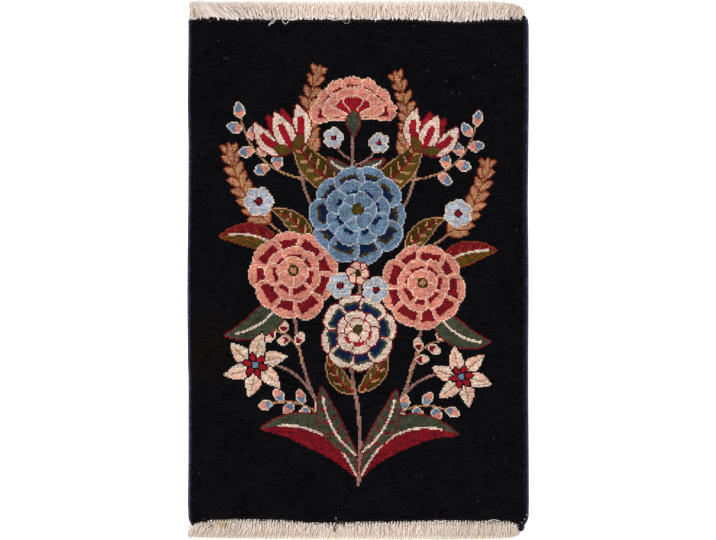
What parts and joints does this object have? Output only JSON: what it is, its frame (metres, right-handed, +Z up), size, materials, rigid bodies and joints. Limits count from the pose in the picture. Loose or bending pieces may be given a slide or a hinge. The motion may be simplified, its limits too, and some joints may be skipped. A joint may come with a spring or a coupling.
{
  "type": "pictorial rug",
  "caption": "Small hand-knotted wool rug lying flat: dark floral pile on a cotton weave, overcast selvedges down both sides and a cotton fringe at each end.",
  "frame": {"origin": "on the floor under the middle of the rug", "axes": "+Z up through the pile, +Y along the rug towards its upper end, +X across it towards its right selvedge"},
  "size_m": [0.6115, 0.9659, 0.009],
  "materials": {
    "pile_wool": "clipped wool pile, near black with a floral spray in coral, crimson, cream, blue and green",
    "selvedge_wool": "wool yarn overcast round the edge, dark indigo",
    "fringe_cotton": "loose cotton warp ends, cream"
  },
  "bodies": {
    "root": {"knotted_field": "pile_wool", "selvedge_left": "selvedge_wool", "selvedge_right": "selvedge_wool", "fringe_upper": "fringe_cotton", "fringe_lower": "fringe_cotton"}
  },
  "joints": []
}
